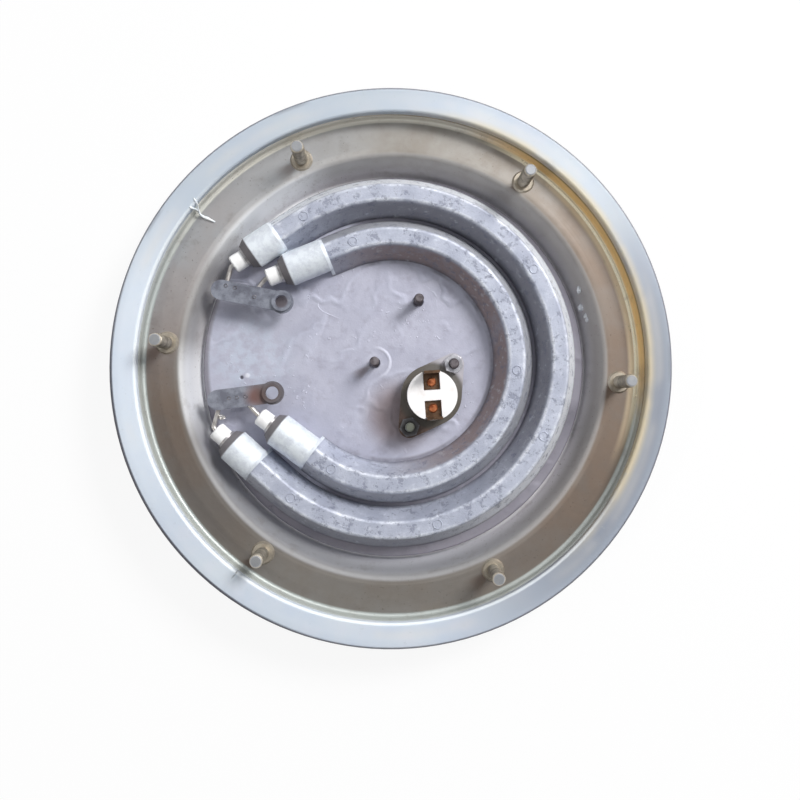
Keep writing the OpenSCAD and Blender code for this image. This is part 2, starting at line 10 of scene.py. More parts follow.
import bpy
import numpy as np
from mathutils import Euler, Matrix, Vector


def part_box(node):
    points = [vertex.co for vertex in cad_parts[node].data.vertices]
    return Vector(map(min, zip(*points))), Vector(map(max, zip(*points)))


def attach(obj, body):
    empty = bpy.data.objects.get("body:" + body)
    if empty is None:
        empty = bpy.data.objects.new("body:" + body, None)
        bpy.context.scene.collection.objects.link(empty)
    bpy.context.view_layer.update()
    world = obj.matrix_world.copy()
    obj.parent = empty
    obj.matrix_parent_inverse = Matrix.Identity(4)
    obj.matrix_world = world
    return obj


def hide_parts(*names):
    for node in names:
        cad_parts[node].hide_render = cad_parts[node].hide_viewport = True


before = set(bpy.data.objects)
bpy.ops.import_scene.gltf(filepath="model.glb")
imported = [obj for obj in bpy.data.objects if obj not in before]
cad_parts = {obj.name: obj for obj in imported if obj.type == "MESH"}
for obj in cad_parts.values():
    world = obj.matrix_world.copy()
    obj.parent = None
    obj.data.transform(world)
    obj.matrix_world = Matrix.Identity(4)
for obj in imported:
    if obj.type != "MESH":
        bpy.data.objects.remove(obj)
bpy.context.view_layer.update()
scene = bpy.context.scene
MM = 0.001

# %% [markdown]
# ## Sizes
# The frame is in metres, but a maker thinks of such a plate in millimetres. So sizes are written in
# millimetres here and are turned into metres where a mesh is made. These few repeat the CAD model, so
# that marks land on the faces that carry them.

# %% Sizes of the solids that carry marks
PLATE_Z, CROWN_Z, LEDGE_Z, STRAP_Z = 3.5, 13.0, 11.0, 10.6
STUD_CIRCLE, STUD_FIRST, STUD_COUNT = 70.0, 55.2, 6
ELEMENT = (-0.9, 1.2)
OUTER_R, INNER_R = 52.1, 38.4
THERMOSTAT, SPARE_PAIR = (11.1, -10.0), (0.15, 10.2)
PAIR_SPAN, PAIR_TURN = 24.0, 55.1
# Each element end: radius, angle, side, straight length up to its nose, and length of its round sleeve
ENDS = [(OUTER_R, 124.5, 1, 17.5, 9.8), (OUTER_R, -131.5, -1, 19.0, 9.8),
        (INNER_R, 113.0, 1, 19.2, 13.0), (INNER_R, -126.5, -1, 15.5, 13.0)]


def polar(middle, radius, degrees, z):
    """A point in millimetres at a radius and an angle round a middle."""
    a = math.radians(degrees)
    return (middle[0] + radius * math.cos(a), middle[1] + radius * math.sin(a), z)


clamp_places = [polar((0, 0), STUD_CIRCLE, STUD_FIRST + i * 360 / STUD_COUNT, LEDGE_Z) for i in range(STUD_COUNT)]
post_places = [polar(m, s * PAIR_SPAN / 2, PAIR_TURN, PLATE_Z) for m in (THERMOSTAT, SPARE_PAIR) for s in (-1, 1)]
FIX_LOW, FIX_HIGH, SPARE_LOW, SPARE_HIGH = post_places
print("clamp studs:", len(clamp_places), "| plate studs:", len(post_places))

# %% [markdown]
# ## Camera
# The plate was photographed from almost straight above, a little low and with the lens a little off
# centre. The place, the turn and the lens were solved from points on the plate. The shift repeats how
# far the picture was cropped off its own middle.

# %% Camera
camera = bpy.data.objects.new("camera", bpy.data.cameras.new("camera"))
scene.collection.objects.link(camera)
camera.location = [v * MM for v in (-3.8, -13.2, 281.1)]
camera.rotation_euler = Euler([math.radians(v) for v in (4.30, -3.68, -0.01)], "XYZ")
camera.data.sensor_width = 36
camera.data.lens = 39.285
camera.data.shift_x, camera.data.shift_y = -0.05, -0.075
camera.data.clip_start = 0.01
scene.camera = camera
scene.view_settings.view_transform = "Standard"
print("camera at", [round(v / MM, 1) for v in camera.location])

# %% [markdown]
# ## Node trees in plain Python
# A finish is mostly sums: a stain times a streak, one minus a mask. Wired by hand each sum is a Math
# node and two links. The class below wraps a node's output, so that Python's own signs add those nodes.

# %% A wrapped output, and a tree that makes nodes
class Sock:
    """A node's output. Python's signs on it add Math nodes to its tree."""

    def __init__(self, graph, socket):
        self.graph, self.socket = graph, socket

    def maths(self, operation, *values):
        return self.graph.node("ShaderNodeMath", {"operation": operation}, dict(enumerate(values)))

    def __add__(self, other):
        return self.maths("ADD", self, other)

    def __radd__(self, other):
        return self.maths("ADD", other, self)

    def __sub__(self, other):
        return self.maths("SUBTRACT", self, other)

    def __rsub__(self, other):
        return self.maths("SUBTRACT", other, self)

    def __mul__(self, other):
        return self.maths("MULTIPLY", self, other)

    def __rmul__(self, other):
        return self.maths("MULTIPLY", other, self)

    def __truediv__(self, other):
        return self.maths("DIVIDE", self, other)

    def __rtruediv__(self, other):
        return self.maths("DIVIDE", other, self)

    def __pow__(self, other):
        return self.maths("POWER", self, other)

    def __abs__(self):
        return self.maths("ABSOLUTE", self)

    def least(self, other):
        return self.maths("MINIMUM", self, other)

    def most(self, other):
        return self.maths("MAXIMUM", self, other)


class Graph:
    """A node tree, and the one method that adds a node to it."""

    def __init__(self, tree):
        self.tree = tree

    def node(self, kind, settings=None, inputs=None, out=0):
        """Adds a node: its settings first, then the values or links of its sockets."""
        made = self.tree.nodes.new(kind)
        for key, value in (settings or {}).items():
            if key == "stops":
                ramp = made.color_ramp
                while len(ramp.elements) < len(value):
                    ramp.elements.new(1.0)
                for element, (at, shade) in zip(ramp.elements, value):
                    element.position, element.color = at, shade
            else:
                setattr(made, key, value)
        for key, value in (inputs or {}).items():
            if isinstance(value, Sock):
                self.tree.links.new(value.socket, made.inputs[key])
            else:
                made.inputs[key].default_value = value
        return Sock(self, made.outputs[out]) if len(made.outputs) else None


def paint(red, green, blue):
    """A colour as it is seen on a screen, 0 to 255, as the linear colour that a shader takes."""
    return tuple(((c / 255 + 0.055) / 1.055) ** 2.4 if c > 10 else c / 255 / 12.92 for c in (red, green, blue)) + (1.0,)


print("white as a shader takes it:", [round(v, 2) for v in paint(255, 255, 255)])

# %% [markdown]
# ## A finish in millimetres
# Every finish reads Object coordinates, so that its pattern stays on the metal from any side. The class
# turns them into millimetres and adds the few patterns that metal, silicone and ceramic share: noise,
# round spots, streaks that run round a middle, and a bump.

# %% The class that all finishes use
class Finish(Graph):
    """A material whose patterns are measured in millimetres."""

    def __init__(self, name):
        self.material = bpy.data.materials.new(name)
        self.material.use_nodes = True
        super().__init__(self.material.node_tree)
        self.tree.nodes.clear()
        metres = self.node("ShaderNodeTexCoord", out="Object")
        self.place = self.node("ShaderNodeVectorMath", {"operation": "SCALE"}, {0: metres, "Scale": 1 / MM})
        parts = self.node("ShaderNodeSeparateXYZ", inputs={0: self.place}).socket.node
        self.x, self.y, self.z = [Sock(self, s) for s in parts.outputs]

    def noise(self, size, detail=3.0, rough=0.5, place=None):
        """Noise from 0 to 1 with spots about size millimetres across."""
        return self.node("ShaderNodeTexNoise", inputs={
            "Vector": place or self.place, "Scale": 1 / size, "Detail": detail, "Roughness": rough})

    def level(self, value, low, high):
        """0 up to low, 1 from high on, and a soft step between them."""
        return self.node("ShaderNodeMapRange", {"interpolation_type": "SMOOTHSTEP"},
                         {"Value": value, "From Min": low, "From Max": high})

    def band(self, value, low, high, soft):
        """1 between low and high, with soft edges."""
        return self.level(value, low - soft, low + soft) - self.level(value, high - soft, high + soft)

    def radius(self, middle=(0, 0)):
        """Distance from an upright line through a middle."""
        dx, dy = self.x - middle[0], self.y - middle[1]
        return (dx * dx + dy * dy) ** 0.5

    def towards(self, degrees, middle=(0, 0)):
        """1 on the side of an angle and -1 on the opposite side."""
        a = math.radians(degrees)
        along = (self.x - middle[0]) * math.cos(a) + (self.y - middle[1]) * math.sin(a)
        return along / (self.radius(middle) + 0.001)

    def sector(self, degrees, half, soft=10, middle=(0, 0)):
        """1 within half degrees of an angle, fading out over soft degrees."""
        low, high = math.cos(math.radians(half + soft)), math.cos(math.radians(max(half - soft, 0)))
        return self.level(self.towards(degrees, middle), low, high)

    def spot(self, point, size, soft=0.3):
        """1 within size millimetres of a point seen from above."""
        return 1 - self.level(self.radius(point), size - soft, size + soft)

    def streaks(self, width, length, middle=(0, 0), detail=2.0):
        """Fine lines that run round a middle, as a spinning or drawing tool leaves them."""
        place = self.node("ShaderNodeCombineXYZ", inputs={
            0: self.radius(middle) / width, 1: self.towards(70, middle) * length, 2: self.z / width})
        return self.noise(1, detail, 0.6, place)

    def creases(self, size, width, share=0.5):
        """Thin wandering lines, each along one level of a soft noise, that come and go."""
        line = 1 - self.level(abs(self.noise(size, 1.0, 0.4) - 0.5), 0.0, width)
        return line * self.level(self.noise(size * 1.7, 2.0, 0.5), 1 - share - 0.06, 1 - share + 0.06)

    def mix(self, share, one, other):
        """Colour one where share is 0 and colour other where it is 1."""
        return self.node("ShaderNodeMix", {"data_type": "RGBA"}, {0: share, 6: one, 7: other}, 2)

    def surface(self, base, metal=0.0, rough=0.5, height=None, depth=0.05, **plain):
        """Wires the shader, with height as a bump of depth millimetres."""
        inputs = {"Base Color": base, "Metallic": metal, "Roughness": rough}
        inputs.update({key.replace("_", " "): value for key, value in plain.items()})
        if height is not None:
            inputs["Normal"] = self.node("ShaderNodeBump", inputs={"Height": height, "Distance": depth * MM})
        shader = self.node("ShaderNodeBsdfPrincipled", inputs=inputs)
        self.node("ShaderNodeOutputMaterial", inputs={"Surface": shader})
        return self.material


def dress(material, *names):
    """Gives CAD nodes their finish, and gives it back for the pieces added to them."""
    for name in names:
        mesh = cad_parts[name].data
        mesh.materials.clear()
        mesh.materials.append(material)
    print(material.name, "on", ", ".join(names))
    return material


# %% [markdown]
# ## Stainless pan
# The dish is spun from stainless sheet, so fine lines run round it. Heat and hard water have tinted the
# ledge brown at the left and right, and the gold on the light wall inside the seal at the upper right is a
# painted reflection. Streaks, blotches and two sectors of tint give the brown without any picture; more
# sectors paint light, shade, sheen and a gleam on ledge, step and wall.

# %% Pan steel
def pan_steel():
    f = Finish("pan_steel")
    lines = f.streaks(0.35, 5.0)
    blotch = f.noise(14, 4, 0.6)
    fine = f.noise(1.6, 4, 0.65)
    r = f.radius()
    colour = f.mix(f.level(blotch, 0.35, 0.7), paint(170, 167, 163), paint(152, 146, 139))
    brown = f.sector(172, 28, 22) * 0.7 + f.sector(-10, 38, 30) * 0.5
    brown = brown * f.band(r, 66, 75.5, 1.5) * f.level(blotch, 0.25, 0.6)
    colour = f.mix(brown, colour, paint(158, 130, 108))
    rust = f.sector(171, 9, 8) * f.band(r, 66.8, 76, 0.8) * f.level(f.noise(5, 3, 0.6), 0.2, 0.5)
    colour = f.mix(rust * 0.75, colour, paint(134, 106, 84))
    # Painted light and shade by sector, over ledge, step and wall alike: lighter at the upper left, darker at the
    # bottom and the lower left, darker and browner at the right.
    colour = f.mix(f.sector(142, 28, 25) * 0.6, colour, paint(192, 195, 201))
    colour = f.mix(f.sector(-105, 60, 30) * 0.5, colour, paint(124, 116, 108))
    colour = f.mix(f.sector(-153, 18, 18) * 0.5, colour, paint(98, 88, 82))
    colour = f.mix(f.sector(0, 62, 30) * 0.35, colour, paint(140, 125, 114))
    colour = f.mix(f.sector(-8, 36, 28) * 0.6, colour, paint(114, 99, 88))
    # Painted light on the ledge's outer edge at the upper right, where the wall shades it.
    painted_bright_edge = f.sector(18, 32, 14) * f.band(r, 73.2, 76, 0.8)
    colour = f.mix(painted_bright_edge * 0.8, colour, paint(236, 216, 184))
    # Painted brown shadow of each clamp stud, trailing to the lower left.
    for x, y, z in clamp_places:
        painted_shadow_trail = f.sector(218, 14, 10, (x, y)) * (1 - f.level(f.radius((x, y)), 4.5, 10.5))
        colour = f.mix(painted_shadow_trail * 0.4, colour, paint(104, 70, 50))
    step = f.band(r, 61, 66.3, 0.5)
    colour = f.mix(step * 0.7, colour, paint(170, 168, 168))
    # Painted light on the foot of the step, where the outer element and the slope shade it.
    painted_foot_shading = f.band(r, 57, 62.6, 1.2)
    colour = f.mix(painted_foot_shading * 0.8, colour, paint(226, 224, 228))
    # Painted sheen on the step at the upper left and at the left.
    painted_sheen = f.sector(131, 15, 9) * f.band(r, 57, 65.8, 0.8) * 0.7 + f.sector(-173, 8, 7) * f.band(r, 59.6, 66.4, 0.8) * 0.6
    colour = f.mix(painted_sheen, colour, paint(246, 248, 252))
    # Painted light on the step towards the bottom.
    colour = f.mix(step * f.sector(-110, 45, 30) * 0.4, colour, paint(194, 200, 212))
    wall = f.level(r, 75.6, 76.2)
    colour = f.mix(wall * 0.85, colour, paint(182, 189, 187))
    # Painted light on the wall at the top, where it faces away from the lamp.
    colour = f.mix(wall * f.sector(95, 45, 25) * 0.9, colour, paint(230, 226, 216))
    # Painted gold reflection on the wall at the upper right.
    painted_gold_reflection = f.sector(30, 34, 12) * wall
    colour = f.mix(painted_gold_reflection * 0.9, colour, paint(250, 208, 136))
    # Painted gleam along the foot of the wall at the upper right.
    painted_gleam = f.sector(26, 36, 12) * f.band(r, 74.8, 76.3, 0.25) * (1 - f.level(f.z, 11.8, 12.4))
    colour = f.mix(painted_gleam, colour, paint(255, 248, 222))
    # Painted dark olive shade along the top of the wall, under the seal, at the upper right.
    painted_shade_under_seal = f.sector(38, 62, 18) * f.level(r, 76.2, 76.8) * f.level(f.z, 13.6, 14.2)
    colour = f.mix(painted_shade_under_seal * 0.8, colour, paint(104, 84, 48))
    speck = f.level(f.noise(0.7, 2, 0.5), 0.66, 0.74) * f.level(f.noise(20, 2, 0.5), 0.4, 0.6)
    colour = f.mix(speck * 0.5, colour, paint(92, 80, 70))
    grey = f.noise(5, 5, 0.7)
    colour = f.mix(f.level(grey, 0.5, 0.75) * 0.35, colour, paint(132, 124, 118))
    bend = f.band(r, 64.6, 67.4, 0.6)
    # Painted shade on the bend at the lower left, except where the sheen is painted.
    colour = f.mix(bend * f.sector(-125, 70, 20) * (1 - painted_sheen) * 0.5, colour, paint(112, 108, 104))
    rough = 0.36 + fine * 0.14 + f.level(blotch, 0.4, 0.7) * 0.08 + bend * 0.22 - painted_gleam * 0.22
    metal = (0.8 - wall * 0.4 - step * 0.3 - bend * 0.3 - painted_gold_reflection * 0.4 - painted_sheen * 0.4 - painted_foot_shading * 0.2).most(0)
    height = lines * 0.6 + fine * 0.5 + speck * 0.3
    return f.surface(colour, metal, rough, height, 0.03)


dress(pan_steel(), "steel_pan")

# %% [markdown]
# ## Silicone seal
# The seal is milky silicone: light goes a little way in and comes out softly, so it looks pale blue
# white and never quite sharp. Subsurface scattering does that. Old water left a faint amber stain on
# its inner edge at the right. Light and shade by sector, a highlight along the inner lip and shade
# along the outer edge are painted in its colour.

# %% Silicone
def silicone():
    f = Finish("silicone")
    cloud = f.noise(18, 3, 0.5)
    grain = f.noise(0.9, 3, 0.6)
    r = f.radius()
    colour = f.mix(f.level(cloud, 0.3, 0.7), paint(196, 206, 221), paint(206, 214, 222))
    colour = f.mix(f.level(f.noise(9, 3, 0.6), 0.45, 0.7) * 0.3, colour, paint(206, 208, 224))
    # Painted shade at the lower right and the upper left, painted light at the left, and painted shade towards the
    # outer edge.
    colour = f.mix(f.sector(-20, 38, 28) * 0.9, colour, paint(130, 136, 149))
    colour = f.mix(f.sector(178, 24, 16) * 0.5, colour, paint(226, 235, 246))
    colour = f.mix(f.sector(118, 28, 20) * 0.4, colour, paint(164, 174, 182))
    colour = f.mix(f.level(r, 81.5, 84.5) * 0.3, colour, paint(176, 186, 200))
    warm = f.band(r, 79.5, 82.0, 1.2) * f.level(f.noise(24, 2, 0.5), 0.45, 0.65)
    colour = f.mix(warm * 0.2, colour, paint(224, 216, 206))
    stain = f.sector(18, 56, 18) * (1 - f.level(r, 77.6, 80.4)) * f.level(f.noise(12, 2, 0.5), 0.1, 0.6)
    colour = f.mix(stain * 0.75, colour, paint(222, 206, 170))
    # Painted highlight along the inner lip, at the left and the bottom.
    painted_lip_highlight = f.sector(-128, 92, 12) * (1 - f.level(r, 77.7, 78.3)) * f.level(f.z, 16.4, 17.2)
    colour = f.mix(painted_lip_highlight * 0.55, colour, paint(240, 245, 248))
    # Painted shade along the seal's rounded outer top edge.
    painted_shade_rim = f.level(r, 84.1, 84.6) * f.level(f.z, 16.0, 16.6)
    colour = f.mix(painted_shade_rim * 0.9, colour, paint(92, 92, 102))
    # Painted dark shade on the seal's outer edge at the lower left.
    painted_shade_outer_edge = f.sector(-152, 34, 20) * f.level(r, 83.8, 84.2) * f.level(f.z, 15.4, 16.0)
    colour = f.mix(painted_shade_outer_edge * 0.85, colour, paint(52, 52, 66))
    marks = (f.sector(0, 3, 2) + f.sector(113, 3, 2) + f.sector(150, 2, 2)).least(1) * f.level(r, 83.2, 84.2)
    colour = f.mix(marks * 0.5, colour, paint(128, 132, 142))
    nick = f.spot((-32.4, -78.8), 0.7, 0.25)
    colour = f.mix(nick * 0.7, colour, paint(96, 98, 104))
    split = (1 - f.level(abs(f.towards(-37)), 0.0015, 0.004)) * f.level(f.towards(-127), 0.5, 0.6)
    split = split * (1 - f.level(r, 78.6, 80.4))
    colour = f.mix(split * f.level(f.noise(2, 2, 0.5), 0.35, 0.55) * 0.6, colour, paint(112, 116, 120))
    dirt = f.level(f.noise(2.2, 4, 0.7), 0.6, 0.75) * 0.3
    colour = f.mix(dirt, colour, paint(170, 178, 182))
    return f.surface(colour, 0.0, 0.38 + grain * 0.14, cloud + grain * 0.25 - nick - split, 0.05,
                     Subsurface_Weight=0.3, Subsurface_Scale=0.002, Subsurface_Radius=(1.0, 0.95, 0.9))


dress(silicone(), "seal_ring")

# %% [markdown]
# ## Aluminium plate and elements
# The disc under the elements was brazed in a furnace, which leaves it matt, lavender grey and blotched.
# The elements are drawn section, so lines run along them. Their crowns are scuffed bright at the edges,
# with a painted highlight there too, and flux has browned the inner flank of the inner one. Light and
# shade are painted on the elements' flanks, feet and sleeve noses, and shade and shadows on the plate.

# %% Spreader plate
def plate_aluminium():
    f = Finish("plate_aluminium")
    blotch, mid, fine = f.noise(11, 4, 0.6), f.noise(3.2, 4, 0.6), f.noise(0.6, 3, 0.6)
    colour = f.mix(f.level(blotch, 0.3, 0.7), paint(176, 177, 194), paint(188, 189, 205))
    colour = f.mix(f.level(mid, 0.5, 0.72) * 0.5, colour, paint(160, 158, 174))
    pits = f.level(fine, 0.68, 0.76) * f.level(mid, 0.4, 0.6)
    colour = f.mix(pits * 0.7, colour, paint(104, 100, 112))
    crease = f.creases(16, 0.010, 0.4) * f.level(mid, 0.4, 0.55)
    dings = f.level(f.noise(1.4, 2, 0.5), 0.66, 0.72) * f.level(f.noise(14, 2, 0.5), 0.5, 0.6)
    colour = f.mix((crease * 0.6).most(dings * 0.4), colour, paint(210, 212, 228))
    colour = f.mix(f.level(f.noise(6, 5, 0.7), 0.52, 0.66) * 0.35, colour, paint(168, 168, 186))
    soft = 1 - f.level(abs(f.noise(20, 2.5, 0.55) - 0.5), 0.0, 0.05)
    soft = soft * f.level(f.noise(30, 2, 0.5), 0.42, 0.56)
    colour = f.mix(soft * 0.25, colour, paint(204, 208, 226))
    frost = f.spot((-46.0, 2.0), 12.0, 8.0) * f.level(mid, 0.36, 0.66)
    colour = f.mix(frost * 0.6, colour, paint(202, 212, 228))
    # Painted shade on the plate between the two elements and along the inner element's foot, over the right side.
    between = f.band(f.radius(ELEMENT), 43.0, 47.4, 0.5)
    painted_foot_shading = f.band(f.radius(ELEMENT), 31.0, 33.0, 0.5) * f.level(blotch, 0.35, 0.6)
    shade = (between * 0.7).most(painted_foot_shading * 0.6) * f.sector(-6, 112, 4, ELEMENT)
    colour = f.mix(shade, colour, paint(96, 92, 102))
    # Painted brown shadow of the thermostat on the plate, below it and to its left.
    painted_thermostat_shadow = f.spot((1.0, -16.0), 9.5, 4.5)
    colour = f.mix(painted_thermostat_shadow * 0.7, colour, paint(126, 105, 99))
    # Painted shade on the plate under the upper strap's hole.
    flux_and_painted_shade = f.spot((-36.4, 19.7), 2.6, 1.4)
    colour = f.mix(flux_and_painted_shade * 0.85, colour, paint(86, 76, 78))
    # Painted shade on the plate just outside the outer element.
    painted_shade_rim = f.level(f.radius(ELEMENT), 57.1, 58.4)
    colour = f.mix(painted_shade_rim * 0.7, colour, paint(118, 112, 118))
    post = SPARE_LOW[0], SPARE_LOW[1]
    # A pressed ring round the spare stud; its lighter colour is only on its right side, towards the lamp, which is a
    # painted highlight.
    ring = f.band(f.radius(post), 4.4, 5.2, 0.4) * f.sector(10, 60, 40, post)
    halo = (1 - f.level(f.radius(post), 1.8, 4.0)) * 0.25
    # Painted brown shadow of the spare plate stud, trailing to the lower left.
    painted_shadow_trail = f.sector(216, 9, 9, post) * (1 - f.level(f.radius(post), 5.0, 9.0))
    colour = f.mix(painted_shadow_trail * 0.55, colour, paint(112, 94, 92))
    colour = f.mix((ring * 0.6).most(halo), colour, paint(226, 228, 242))
    hole = f.spot((-48.3, -4.4), 0.55, 0.3)
    colour = f.mix(hole * 0.9, colour, paint(56, 54, 64))
    burr = f.spot((-46.6, -3.8), 0.7, 0.4) * (1 - hole)
    colour = f.mix(burr * 0.7, colour, paint(232, 234, 244))
    height = mid * 0.8 + fine * 0.4 - pits * 0.9 + crease * 0.7 + soft * 1.6 + dings + ring * 1.2 - hole * 2 + burr
    return f.surface(colour, 0.4, 0.5 + fine * 0.14, height, 0.09)


plate_metal = dress(plate_aluminium(), "spreader_plate")

# %% How far a point is from the middle of its element, on the rings and on their straight ends
def across_element(f):
    """Signed distance from an element's middle line, and masks of its round sleeves and their noses."""
    r = f.radius(ELEMENT)
    gap = (OUTER_R + INNER_R) / 2
    ring_off = r - (INNER_R + f.level(r, gap - 0.1, gap + 0.1) * (OUTER_R - INNER_R))
    straight, straight_off, sleeve, painted_shade_nose, taken = 0, 0, 0, 0, 0
    for radius, at, side, lead, sleeve_len in ENDS:
        a, b = math.radians(at), math.radians(at + 90 * side)
        dx, dy = f.x - ELEMENT[0], f.y - ELEMENT[1]
        along = dx * math.cos(b) + dy * math.sin(b)
        out = dx * math.cos(a) + dy * math.sin(a) - radius
        near = f.band(out, -6.2, 6.2, 0.1) * f.band(along, 0, lead + 2.6, 0.1)
        straight, straight_off = near + straight, near * out + straight_off
        sleeve = near * f.level(along, lead - sleeve_len - 0.1, lead - sleeve_len + 0.1) + sleeve
        painted_shade_nose = near * f.level(along, lead - 0.3, lead + 0.3) * (1 - taken) + painted_shade_nose
        taken = near + taken
    return ring_off * (1 - straight) + straight_off, sleeve, painted_shade_nose


# %% Element sheaths
def sheath_aluminium():
    f = Finish("sheath_aluminium")
    blotch, mid, fine = f.noise(7, 4, 0.6), f.noise(2.2, 4, 0.65), f.noise(0.7, 4, 0.65)
    off, sleeve, painted_shade_nose = across_element(f)
    bare = 1 - sleeve
    colour = f.mix(f.level(blotch, 0.3, 0.7), paint(168, 173, 190), paint(186, 191, 206))
    flank = (1 - f.level(f.z, CROWN_Z - 1.0, CROWN_Z - 0.3)) * bare
    outward, inward = f.level(off, 2.2, 3.2) * flank, (1 - f.level(off, -3.4, -2.4)) * flank
    # Painted light: flanks that face outwards are painted pale all round.
    colour = f.mix(outward * 0.85, colour, paint(238, 241, 246))
    r = f.radius(ELEMENT)
    outer = f.level(r, 45.1, 45.5)
    # Painted shade: the outer element's outer flank towards the bottom, the inner element's outer flank that faces the
    # outer element, and the outer element's inner flank at the upper right.
    colour = f.mix(outward * outer * f.sector(-108, 32, 22) * 0.8, colour, paint(120, 121, 134))
    colour = f.mix(outward * (1 - outer) * 0.6, colour, paint(120, 120, 130))
    colour = f.mix(inward * outer * f.sector(35, 75, 30) * 0.7, colour, paint(128, 127, 134))
    # Flux browning on the inner element's inner flank, kept to the side away from the lamp: part flux, part painted
    # shade.
    flux_and_painted_shade = inward * (1 - outer) * f.sector(20, 95, 30)
    colour = f.mix(flux_and_painted_shade * (0.45 + f.level(blotch, 0.3, 0.5) * 0.4), colour, paint(150, 130, 126))
    # Crown edges worn bright, and a painted highlight there as well.
    painted_bright_edge = f.band(abs(off), 1.8, 2.8, 0.45) * bare * f.level(f.z, CROWN_Z - 1.4, CROWN_Z - 0.5)
    worn = f.level(blotch, 0.32, 0.6) * (0.4 + f.level(mid, 0.4, 0.6) * 0.6)
    colour = f.mix(painted_bright_edge * worn * 0.65, colour, paint(238, 241, 248))
    # Painted shade low on the flanks, near the plate.
    low = 1 - f.level(f.z, PLATE_Z + 0.3, PLATE_Z + 2.8)
    colour = f.mix(low * 0.65, colour, paint(96, 93, 102))
    scuff = f.level(mid, 0.54, 0.7) * f.level(blotch, 0.4, 0.6)
    colour = f.mix(scuff * 0.5, colour, paint(218, 222, 234))
    patch = f.level(f.noise(3, 5, 0.8), 0.53, 0.62) * (1 - sleeve * 0.5)
    colour = f.mix(patch * 0.6, colour, paint(122, 126, 144))
    grain = f.noise(0.35, 3, 0.6)
    colour = f.mix(f.level(grain, 0.55, 0.7) * 0.35, colour, paint(122, 124, 138))
    pits = f.level(fine, 0.63, 0.71) * f.level(f.noise(5, 3, 0.6), 0.4, 0.6)
    colour = f.mix(pits * 0.75, colour, paint(100, 101, 114))
    colour = f.mix(sleeve * (0.6 + f.level(mid, 0.35, 0.6) * 0.3), colour, paint(230, 236, 242))
    # Painted brown grey shade on the tapered noses of the sleeves.
    colour = f.mix(painted_shade_nose * 0.9, colour, paint(94, 87, 90))
    height = f.streaks(0.3, 4.0, ELEMENT) * 0.3 + fine * 0.7 + mid * 0.5 + grain * 0.3 - pits - patch * 0.8
    return f.surface(colour, 0.3, 0.5 + fine * 0.16, height, 0.08)


sheath_metal = dress(sheath_aluminium(), "outer_sheath", "inner_sheath")

# %% [markdown]
# ## Terminals
# Steel tube ends, glazed white beads and bright pins meet two stamped straps. The lower strap has been
# hot near its screw hole, which shows as a copper brown tint.

# %% Tubes, beads, pins and straps
def worn_metal(name, pale, dark, metal=0.85, rough=0.32, size=4.0, tint=None):
    """A plain metal with blotches, fine scratches and, if asked, coloured spots; among them are the lower strap's tint
    from heating and painted light and shade on the bracket, the lower nut and the rivets.
    """
    f = Finish(name)
    blotch, fine = f.noise(size, 4, 0.6), f.noise(size / 8, 3, 0.6)
    colour = f.mix(f.level(blotch, 0.32, 0.68), paint(*pale), paint(*dark))
    for point, reach, shade, *soft in tint or ():
        colour = f.mix(f.spot(point, reach, *(soft or [reach * 0.7])) * 0.92, colour, paint(*shade))
    pits = f.level(fine, 0.68, 0.76)
    colour = f.mix(pits * 0.5, colour, paint(*[c * 0.55 for c in dark]))
    return f.surface(colour, metal, rough + fine * 0.16, fine - pits * 0.5, 0.03)


dress(worn_metal("tube_steel", (186, 184, 186), (150, 146, 148), size=2), "outer_heater_tube", "inner_heater_tube")
pin_metal = dress(worn_metal("pin_steel", (206, 203, 200), (168, 162, 158), size=2),
                  "outer_pin_a", "outer_pin_b", "inner_pin_a", "inner_pin_b")
dress(worn_metal("strap_steel", (150, 154, 166), (106, 108, 120), metal=0.6, rough=0.42, size=4), "upper_strap")
dress(worn_metal("strap_tinted", (152, 156, 168), (112, 114, 126), metal=0.5, rough=0.45, size=4,
                 tint=[((-42.6, -10.2), 3.0, (124, 92, 86)), ((-37.9, -9.3), 3.9, (96, 84, 82))]), "lower_strap")


def fired_ceramic(name, pale, dark, rough):
    """White ceramic with faint grey handling marks."""
    f = Finish(name)
    cloud, fine = f.noise(3.5, 3, 0.6), f.noise(0.4, 3, 0.6)
    colour = f.mix(f.level(cloud, 0.45, 0.75) * 0.6, paint(*pale), paint(*dark))
    marks = f.level(fine, 0.7, 0.78) * f.level(cloud, 0.45, 0.6)
    colour = f.mix(marks * 0.5, colour, paint(150, 140, 132))
    return f.surface(colour, 0.0, rough + fine * 0.1, fine, 0.02)


dress(fired_ceramic("white_ceramic", (250, 250, 251), (232, 231, 232), 0.3),
      "outer_bead_a", "outer_bead_b", "inner_bead_a", "inner_bead_b")
dress(fired_ceramic("body_ceramic", (248, 246, 247), (228, 222, 220), 0.5), "thermostat_base", "push_rod")
print("ceramic and terminal finishes made")

# %% [markdown]
# ## Thermostat
# A thin cup, a stamped bracket and two brass blades on copper rivets. The sealed pieces inside get
# plain finishes too, because a cut through the part would show them.

# %% Thermostat metals and the sealed pieces
dress(worn_metal("cup_metal", (104, 100, 86), (76, 70, 58), metal=0.5, size=3), "thermostat_cup")
# Painted light and shade: the bracket is brown as in shade, lighter round the upper nut and darker round the cup.
dress(worn_metal("bracket_steel", (126, 106, 97), (92, 77, 70), metal=0.5, size=4, rough=0.45,
                 tint=[(FIX_HIGH[:2], 8.0, (190, 188, 196)), (THERMOSTAT, 10.3, (92, 88, 82), 0.9)]), "thermostat_bracket")
dress(worn_metal("terminal_brass", (122, 96, 76), (84, 64, 50), size=2), "terminal_a", "terminal_b")
